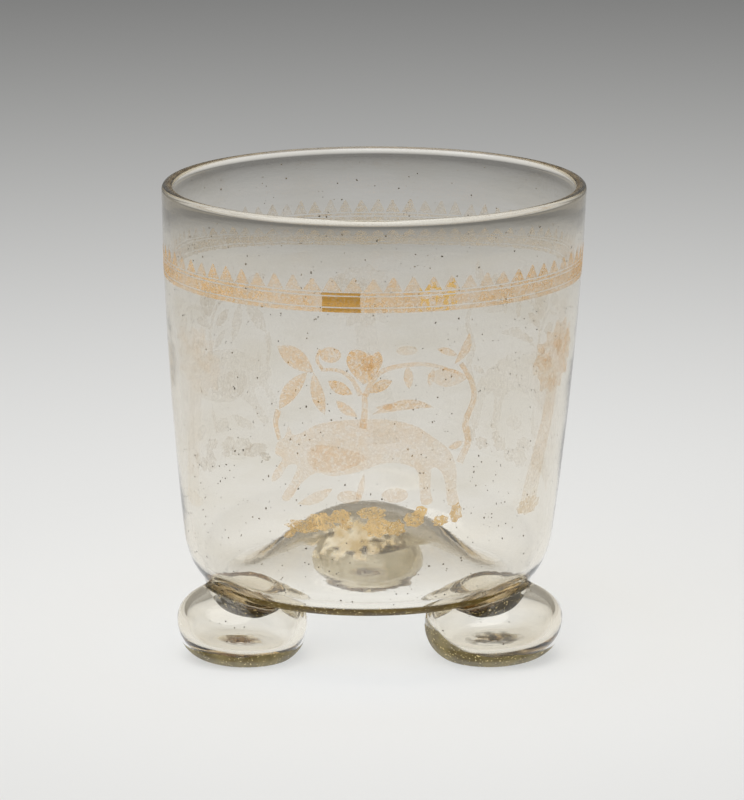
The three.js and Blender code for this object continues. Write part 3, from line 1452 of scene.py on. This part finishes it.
@dataclass(frozen=True)
class Gilding:
    """The gilded ornament on the outside of the wall: a frieze, and beasts with sprays between trees."""

    bowl: Bowl
    leaf: GoldLeaf
    unroll: float = 47.8
    proud: float = 0.00003
    thickness: float = 0.00003
    strips: tuple = ((94.3, 94.9, 0.46), (91.6, 94.0, 0.45), (90.3, 91.3, 0.42))
    seam: float = -0.11
    teeth: int = 73
    teeth_foot: float = 95.2
    teeth_peak: float = 98.4
    faint: float = 0.20
    clear: float = 0.33
    strong: float = 0.46
    golden: float = 0.62
    seed: int = 7

    def onto_wall(self, run: float, height: float, lift: float) -> Vector:
        """A place on the wall.

        Args:
            run: way along the wall from the front, in millimetres.
            height: height above the table, in millimetres.
            lift: how far off the glass, in metres.

        Returns:
            The point in the row frame, in metres.
        """
        level = height / 1000
        radius = self.bowl.wall_radius(level) + lift
        turn = run / self.unroll - math.pi / 2
        return Vector((radius * math.cos(turn) + self.bowl.centre_x(level), radius * math.sin(turn), level))

    def beast(self, pen: Sketch, dice: random.Random) -> None:
        """Draws a walking beast with a spray on its back, above bushes.

        Args:
            pen: the pen, over the beast's middle.
            dice: the source of its small differences.
        """
        head = [(-23.0, 55.5), (-22.4, 58.2), (-20.4, 59.9), (-19.4, 62.6), (-18.4, 60.6), (-16.2, 61.2)]
        back = [(-12.0, 63.6), (-5.0, 64.9), (3.0, 65.0), (9.5, 63.6), (14.5, 60.4), (18.8, 56.8)]
        hind_leg = [(20.9, 52.4), (21.3, 47.0), (22.3, 43.6), (19.4, 43.4), (18.6, 47.6), (17.2, 51.6)]
        other_leg = [(14.8, 52.8), (14.6, 47.6), (15.3, 44.4), (12.6, 44.2), (11.9, 48.4), (10.6, 53.0)]
        belly = [(4.0, 54.6), (-2.6, 52.4), (-8.8, 51.2), (-12.8, 51.8)]
        fore_leg = [(-16.6, 48.8), (-19.6, 44.6), (-21.7, 45.0), (-18.8, 49.6), (-17.4, 53.2), (-19.8, 53.0)]
        raised = [(-21.8, 50.0), (-24.2, 48.6), (-23.6, 51.0), (-21.2, 54.4)]
        pen.blot(head + back + hind_leg + other_leg + belly + fore_leg + raised, self.faint, 3)
        shoulder = [(-15.0, 55.0), (-13.0, 58.4), (-6.0, 58.0), (-1.0, 55.6), (-7.0, 52.4), (-12.6, 52.4)]
        pen.blot(shoulder, self.faint)
        self.spray(pen)
        tail = [(21.6, 53.6), (23.6, 58.4), (22.6, 63.2), (24.4, 68.4), (23.6, 72.6), (20.6, 77.4)]
        pen.stem(tail, 2.0, 1.1, self.clear)
        pen.blade((19.0, 77.4), (22.4, 84.6), 2.3, -1.8, self.clear)
        pen.blade((19.8, 79.3), (14.6, 81.4), 1.7, -0.3, self.clear)
        pen.blade((22.6, 73.8), (12.6, 75.4), 4.4, 0.6, self.faint)
        pen.blade((22.4, 58.6), (18.6, 57.4), 1.8, 0.3, self.clear)
        pen.blade((-17.6, 43.8), (-8.8, 48.2), 2.6, -0.9, self.faint)
        pen.bud((-4.8, 46.2), 6.0, 3.2, self.faint)
        pen.blade((-1.4, 52.0), (-3.0, 44.6), 1.6, 0.3, self.faint)
        pen.bud((6.0, 46.6), 6.4, 3.6, self.faint)
        self.bushes(pen, dice)

    def spray(self, pen: Sketch) -> None:
        """Draws the spray of scrolls, leaves and a heart that stands on a beast's back.

        Args:
            pen: the pen, over the beast's middle.
        """
        pen.stem([(-1.8, 62.8), (-1.4, 67.4), (-1.6, 71.2)], 1.7, 1.1, self.clear)
        scroll = [(-1.4, 70.6), (0.8, 75.2), (4.0, 77.2), (9.6, 78.0), (14.2, 77.4), (20.0, 75.3)]
        pen.stem(scroll, 1.4, 0.7, self.clear)
        pen.stem([(-2.4, 70.8), (-4.4, 74.6), (-7.4, 76.6), (-11.4, 76.6)], 1.2, 0.7, self.clear)
        pen.stem([(-11.2, 76.8), (-12.4, 79.0), (-11.6, 81.4)], 0.8, 0.7, self.clear)
        pen.bud((-9.3, 80.2), 4.8, 3.7, self.clear)
        heart = [(-1.6, 73.6), (-4.4, 76.0), (-5.7, 79.0), (-4.6, 81.4), (-2.2, 81.4)]
        heart += [(-0.4, 80.2), (1.4, 81.2), (2.4, 79.0), (1.0, 76.0)]
        pen.blot(heart, self.strong)
        pen.bud((-0.9, 78.6), 2.6, 4.4, self.clear)
        pen.blade((-0.4, 71.4), (4.6, 74.2), 2.6, 0.5, self.strong)
        pen.blade((-4.2, 71.0), (-9.8, 74.0), 2.9, 0.3, self.strong)
        pen.blade((-3.0, 65.6), (-8.0, 69.4), 2.3, 0.5, self.clear)
        pen.blade((0.2, 66.2), (14.6, 67.4), 2.4, 3.2, self.clear)
        pen.blade((1.0, 67.8), (6.0, 68.6), 1.4, -0.4, self.clear)
        pen.blade((8.0, 77.8), (8.6, 72.2), 2.2, 0.0, self.clear)
        pen.bud((7.8, 81.3), 4.8, 2.2, self.faint)
        pen.blade((14.0, 77.0), (13.2, 72.4), 1.6, 0.0, self.clear)
        pen.blade((-13.2, 75.9), (-21.9, 81.4), 4.8, -0.6, self.clear)
        pen.blade((-14.6, 75.9), (-21.7, 66.4), 3.6, -0.8, self.clear)
        pen.blade((-13.2, 75.9), (-10.6, 65.9), 3.1, -0.9, self.clear)
        pen.stem([(-21.9, 66.2), (-22.7, 63.0), (-21.8, 59.0)], 1.6, 1.0, self.clear)

    def bushes(self, pen: Sketch, dice: random.Random) -> None:
        """Draws the golden bushes and tufts under a beast.

        Args:
            pen: the pen, over the beast's middle.
            dice: the source of their raggedness.
        """
        clumps = [((-16.8, 38.4), 9.4, 3.8), ((-11.8, 39.8), 8.2, 4.8), ((-7.0, 41.4), 6.0, 4.0)]
        clumps += [((-5.6, 39.4), 3.6, 2.8), ((0.6, 42.4), 7.6, 3.2), ((2.0, 38.8), 7.4, 5.6)]
        clumps += [((6.6, 38.6), 5.0, 4.2), ((10.8, 40.6), 5.6, 4.2), ((12.6, 42.2), 3.4, 3.4)]
        clumps += [((17.6, 39.8), 5.0, 3.0), ((21.6, 41.2), 3.8, 5.0)]
        for centre, wide, high in clumps:
            pen.clump(centre, wide, high, self.golden * pen.share, dice, 7)
        pen.blade((-18.0, 37.4), (-21.6, 35.4), 1.6, 0.3, self.golden)

    def tree(self, pen: Sketch, dice: random.Random) -> None:
        """Draws a slender tree.

        Args:
            pen: the pen, over the trunk.
            dice: the source of its small differences.
        """
        trunk = [(-3.4, 37.5), (-2.6, 44.0), (-0.6, 52.0), (1.6, 60.0), (3.0, 70.0)]
        pen.stem(trunk, 7.4, 5.0, self.faint * 0.7)
        pen.clump((3.4, 74.5), 20.5, 17.0, self.faint, dice, 13)
        for _ in range(16):
            turn, far = dice.uniform(0, math.tau), dice.uniform(0.1, 0.85)
            root = (3.4 + 8.8 * far * math.cos(turn), 73.0 + 7.4 * far * math.sin(turn))
            side = root[0] + 3.2 * math.cos(turn) + dice.uniform(-1.5, 1.5)
            tip = (side, root[1] + 2.2 * math.sin(turn) + 2.4)
            pen.blade(root, tip, dice.uniform(1.8, 3.4), dice.uniform(-0.8, 0.8), self.faint * 0.7)
        pen.clump((-3.0, 39.4), 11.0, 4.6, self.faint, dice)

    def haze(self, pen: Sketch) -> None:
        """Draws what is left of the gilding's ground between the motifs of the back half.

        Args:
            pen: the pen, over the middle of the back.
        """
        reach = 0.25 * math.tau * self.unroll
        runs = [-reach + 2 * reach * i / 24 for i in range(25)]
        top = [(run, 87.5 + 1.2 * math.sin(2.3 * i)) for i, run in enumerate(runs)]
        foot = [(run, 37.2 + 1.0 * math.sin(3.1 * i)) for i, run in enumerate(runs)]
        pen.shape(top[::-1] + foot, self.faint * 0.22)

    def build(self) -> Piece:
        """Builds the whole ornament.

        Returns:
            The piece, a thin shell just off the glass.
        """
        dice = random.Random(self.seed)
        sheet = bmesh.new()
        sheet.faces.layers.float.new("leaf")
        for name in ("leaf", "within"):
            sheet.verts.layers.float.new(name)
        around = math.tau * self.unroll
        for unit, (beast, tree) in enumerate(((1.0, 1.1), (0.55, 0.5), (0.55, 0.3))):
            self.beast(Sketch(sheet, unit * around / 3, beast), dice)
            self.tree(Sketch(sheet, (unit + 0.5) * around / 3 - 1.2, tree), dice)
        self.soften(sheet, sheet.faces[:], 0.42)
        motifs = set(sheet.faces)
        self.haze(Sketch(sheet, around / 2, 1.0))
        self.soften(sheet, [face for face in sheet.faces if face not in motifs], 9.0)
        motifs = set(sheet.faces)
        self.frieze(Sketch(sheet, 0.0, 1.0), around, dice)
        self.soften(sheet, [face for face in sheet.faces if face not in motifs], 0.1)
        bmesh.ops.triangulate(sheet, faces=sheet.faces, quad_method="BEAUTY", ngon_method="BEAUTY")
        cuts = [((step * 2.0, 0, 0), (1, 0, 0)) for step in range(-20, 150)]
        cuts += [((0, height, 0), (0, 1, 0)) for height in (46.0, 54.0, 62.0, 70.0, 78.0)]
        for place, way in cuts:
            everything = sheet.verts[:] + sheet.edges[:] + sheet.faces[:]
            bmesh.ops.bisect_plane(sheet, geom=everything, dist=1e-5, plane_co=place, plane_no=way)
        self.face_up(sheet.faces)
        upper = bmesh.ops.extrude_face_region(sheet, geom=sheet.faces[:], use_keep_orig=True)["geom"]
        lifted = {item for item in upper if isinstance(item, bmesh.types.BMVert)}
        for vert in sheet.verts:
            lift = self.proud + (self.thickness if vert in lifted else 0.0)
            vert.co = self.onto_wall(vert.co.x, vert.co.y, lift)
        bmesh.ops.recalc_face_normals(sheet, faces=sheet.faces)
        piece = to_object(sheet, "gilding", self.leaf.material())
        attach(piece, "root")
        return piece

    @staticmethod
    def face_up(faces: list[bmesh.types.BMFace]) -> None:
        """Turns faces of the unrolled wall the right way up.

        Args:
            faces: the faces.
        """
        for face in faces:
            if face.normal.z < 0:
                face.normal_flip()

    def soften(self, sheet: Mesh, shapes: list[bmesh.types.BMFace], margin: float) -> None:
        """Gives shapes an edge that wears off first.

        Args:
            sheet: the unrolled wall.
            shapes: the shapes.
            margin: how wide that edge is, in millimetres.
        """
        leaf, within = (sheet.verts.layers.float[name] for name in ("leaf", "within"))
        left = sheet.faces.layers.float["leaf"]
        self.face_up(shapes)
        inset = bmesh.ops.inset_individual(sheet, faces=shapes, thickness=margin, use_even_offset=False)
        for face in shapes:
            for vert in face.verts:
                vert[within] = 1.0
        for face in [*shapes, *inset["faces"]]:
            for vert in face.verts:
                vert[leaf] = face[left]

    def frieze(self, pen: Sketch, around: float, dice: random.Random) -> None:
        """Draws the frieze's strips, each a low edge, a high edge and how much leaf is left, and its teeth.

        Args:
            pen: the pen.
            around: the length once round the wall.
            dice: the source of the teeth's differences.
        """
        start = self.seam * around
        for low, high, left in self.strips:
            edge = [(start, low), (start + around - 0.02, low), (start + around - 0.02, high), (start, high)]
            pen.shape(edge, left)
        swell = [1 + 0.07 * math.cos(math.tau * (i + 0.5) / self.teeth) for i in range(self.teeth)]
        spacing = [share + dice.uniform(-0.05, 0.05) for share in swell]
        whole = sum(spacing)
        along = 0.0
        for share in spacing:
            pitch = share * around / whole
            low, peak = self.teeth_foot, self.teeth_peak + dice.uniform(-0.35, 0.25)
            lean = dice.uniform(-0.25, 0.25)
            tooth = [
                (along - 0.47 * pitch, low),
                (along + 0.47 * pitch, low + dice.uniform(-0.05, 0.05)),
                (along + 0.06 * pitch + lean, peak - 0.1),
                (along - 0.05 * pitch + lean, peak),
            ]
            pen.shape(tooth, 0.40 + dice.uniform(-0.12, 0.08))
            along += pitch


# Studio


@dataclass(frozen=True)
class Studio:
    """Pale floor with a painted pool of light that darkens away from the beaker, soft plain light, and the
    camera.
    """

    painted_pool_light: float = 0.82
    fade: float = 0.665
    floor_size: float = 6.0
    painted_glow: float = 0.35
    far_light: float = 0.17
    distance: float = 1.111
    pitch: float = math.radians(12.93)
    aim: tuple = (-0.0005, 0.0, 0.0586)
    lens: float = 224.4
    sky: float = 0.62
    sun: float = 1.46
    room: tuple = ((0.0, (0.27, 0.258, 0.232)), (0.4, (0.4, 0.392, 0.37)), (1.0, (0.62, 0.615, 0.6)))

    def floor(self) -> None:
        """Lays the floor, with its painted pool of light and painted glow."""
        mesh = bmesh.new()
        bmesh.ops.create_circle(mesh, cap_ends=True, segments=96, radius=self.floor_size)
        bmesh.ops.translate(mesh, vec=(0, 0, -0.00002), verts=mesh.verts)
        material, graph = new_material("pale_floor")
        reach = graph.number("VectorMath", "Value", {"operation": "LENGTH"}, {0: graph.place()})
        # Painted pool of light: the floor's colour is brightest under the beaker and falls off outwards, with
        # a further painted brightening right under it.
        light = self.painted_pool_light / (1.0 + (reach / self.fade) ** 2.0)
        light = light.larger(self.far_light) + 0.05 * reach.rise(0.16, 0.0)
        paper = graph.grain(900.0, 2.0)
        light = light * (0.995 + 0.01 * paper)
        # Painted light: near the beaker the floor is painted brighter and cooler, to undo the warm shade that
        # the glass casts.
        near = reach.rise(0.075, 0.03)
        tones = [light * (base + gain * near) for base, gain in ((1.0, 0.04), (1.0, 0.06), (0.983, 0.09))]
        colour = graph.node("CombineColor", None, dict(enumerate(tones))).outputs[0]
        lit = graph.node("BsdfDiffuse", None, {"Color": colour}).outputs[0]
        shown = graph.node("Emission", None, {"Color": colour, "Strength": 1.0}).outputs[0]
        # The floor glows with its colour for rays that glass sends on, and in part for all rays, most near
        # the beaker: a painted glow that lightens the beaker's shadow.
        graph.finish(graph.mix_shaders(graph.mirrored().larger(self.painted_glow + 0.25 * near), lit, shown))
        to_object(mesh, "floor", material, smooth=False)

    def world(self) -> None:
        """Sets the even light, and the dim room that the glass mirrors."""
        world = bpy.data.worlds.new("studio")
        world.use_nodes = True
        bpy.context.scene.world = world
        graph = Graph(world.node_tree)
        way = graph.node("TexCoord").outputs["Generated"]
        height = graph.number("SeparateXYZ", 2, None, {"Vector": way})
        ramp = {"stops": list(self.room)}
        room = graph.node("ValToRGB", ramp, {0: height.larger(0.0)}).outputs[0]
        even = graph.node("Background", None, {"Color": (1, 1, 1, 1), "Strength": self.sky}).outputs[0]
        dim = graph.node("Background", None, {"Color": room, "Strength": 1.0}).outputs[0]
        seen = graph.mirrored().larger(graph.number("LightPath", "Is Camera Ray"))
        graph.node("OutputWorld", None, {"Surface": graph.mix_shaders(seen, even, dim)})

    def lamp(self) -> None:
        """Hangs the broad soft lamp that faces the beaker from the upper left."""
        data = bpy.data.lights.new("soft_lamp", "SUN")
        data.energy, data.angle = self.sun, math.radians(70)
        lamp = bpy.data.objects.new("soft_lamp", data)
        lamp.rotation_euler = Vector((0.35, 0.45, -1.0)).to_track_quat("-Z", "Y").to_euler()
        bpy.context.scene.collection.objects.link(lamp)

    def camera(self) -> None:
        """Places the camera at the photograph's viewing angle."""
        data = bpy.data.cameras.new("camera")
        data.sensor_fit, data.sensor_width, data.lens = "HORIZONTAL", 36.0, self.lens
        camera = bpy.data.objects.new("camera", data)
        back = Vector((0, -math.cos(self.pitch), math.sin(self.pitch))) * self.distance
        camera.location = Vector(self.aim) + back
        camera.rotation_euler = (math.pi / 2 - self.pitch, 0, 0)
        bpy.context.scene.collection.objects.link(camera)
        bpy.context.scene.camera = camera

    def build(self) -> None:
        """Sets up the whole studio."""
        self.floor()
        self.world()
        self.lamp()
        self.camera()
        scene = bpy.context.scene
        scene.view_settings.view_transform = "Standard"
        scene.cycles.caustics_reflective = False
        scene.cycles.caustics_refractive = False
        scene.cycles.max_bounces = 32
        scene.cycles.transmission_bounces = 28
        scene.cycles.glossy_bounces = 12
        scene.cycles.transparent_max_bounces = 32


def main() -> None:
    """Builds the studio and the beaker."""
    logging.basicConfig(level=logging.INFO, format="%(name)s %(message)s")
    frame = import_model()
    log.info("frame nodes: %s", ", ".join(sorted(frame["nodes"])))
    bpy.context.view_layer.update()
    Studio().build()
    bowl = Bowl(BlownGlass("straw_grey_glass"))
    report(bowl.build())
    fine = {"depth": 55.0, "cord_scale": 160.0, "cord_stretch": (1, 1, 1.6)}
    clear = BlownGlass("olive_foot_glass", streak=(0.965, 0.955, 0.93), **fine).material()
    # The back foot's glass is a darker copy of the feet's glass: painted shade, for how it looks through the
    # pushed-in base.
    painted_shade_tone = {"tone": (0.84, 0.82, 0.74), "streak": (0.68, 0.64, 0.52)}
    shaded_foot_glass = BlownGlass("back_foot_shaded_glass", **painted_shade_tone, **fine).material()
    feet = [
        Foot("left_foot", "foot_front_left", 210, 0.0155, bowl),
        Foot("right_foot", "foot_front_right", 331, 0.0164, bowl),
        Foot("back_foot", "foot_back", 90, 0.0152, bowl),
    ]
    # Films of painted shade on the heel, kick and lip, and a painted highlight on the kick.
    heel_painted_shade = StainAndPaintedLightFilm("heel_painted_shade", (0.07, 0.040, 0.002), (0.15, 0.098, 0.015), 0.98, True)
    kick_painted_shade = StainAndPaintedLightFilm("kick_painted_shade", (0.15, 0.11, 0.03), (0.32, 0.25, 0.10), 0.32)
    lip_painted_shade = StainAndPaintedLightFilm("lip_painted_shade", (0.13, 0.09, 0.045), (0.26, 0.20, 0.12), 0.7, True, 0.75)
    kick_highlight = StainAndPaintedLightFilm("kick_painted_highlight", (0.74, 0.58, 0.32), (0.95, 0.90, 0.76), 0.85)
    report(HeelFilm("heel_painted_shade", Slot.BOWL, feet=tuple(feet)).build(bowl, heel_painted_shade))
    report(KickFilm("kick_painted_shade", Slot.BOWL).build(bowl, kick_painted_shade))
    report(LipFilm("lip_painted_shade_line", Slot.BOWL).build(bowl, lip_painted_shade))
    report(KickHighlight("kick_highlight_film", Slot.BOWL).build(bowl, kick_highlight))
    # Painted shade for the feet's thick bottoms and joints; the two scar finishes are real stains.
    foot_painted_shade = StainAndPaintedLightFilm("foot_painted_shade", (0.12, 0.088, 0.02), (0.25, 0.20, 0.08), 0.9, True).material()
    joint_painted_shade = StainAndPaintedLightFilm("joint_painted_shade", (0.008, 0.005, 0.0), (0.03, 0.02, 0.0), 1.0, True, 0.64).material()
    brown_scar = StainAndPaintedLightFilm("brown_scar", (0.20, 0.085, 0.012), (0.52, 0.33, 0.12), 1.0).material()
    olive_scar = StainAndPaintedLightFilm("olive_scar", (0.06, 0.045, 0.01), (0.24, 0.17, 0.06), 0.92).material()
    dressings = [
        (clear, Scar(feet[0]), brown_scar, {}),
        (clear, Scar(feet[1], 0.0068, 0.62), olive_scar, {"rise": 0.0085}),
        (shaded_foot_glass, Scar(feet[2]), brown_scar, {"outer": True}),
    ]
    for foot, (glass, scar, scar_finish, band) in zip(feet, dressings):
        report(foot.build(glass))
        report(JointFilm(foot).build(joint_painted_shade))
        report(scar.build(scar_finish))
        report(FootFilm(foot.name + "_painted_shade", Slot.FOOT, **band).build(foot, foot_painted_shade))
    report(Seeds(bowl).build(feet))
    report(Gilding(bowl, GoldLeaf()).build())


if __name__ == "__main__":
    main()
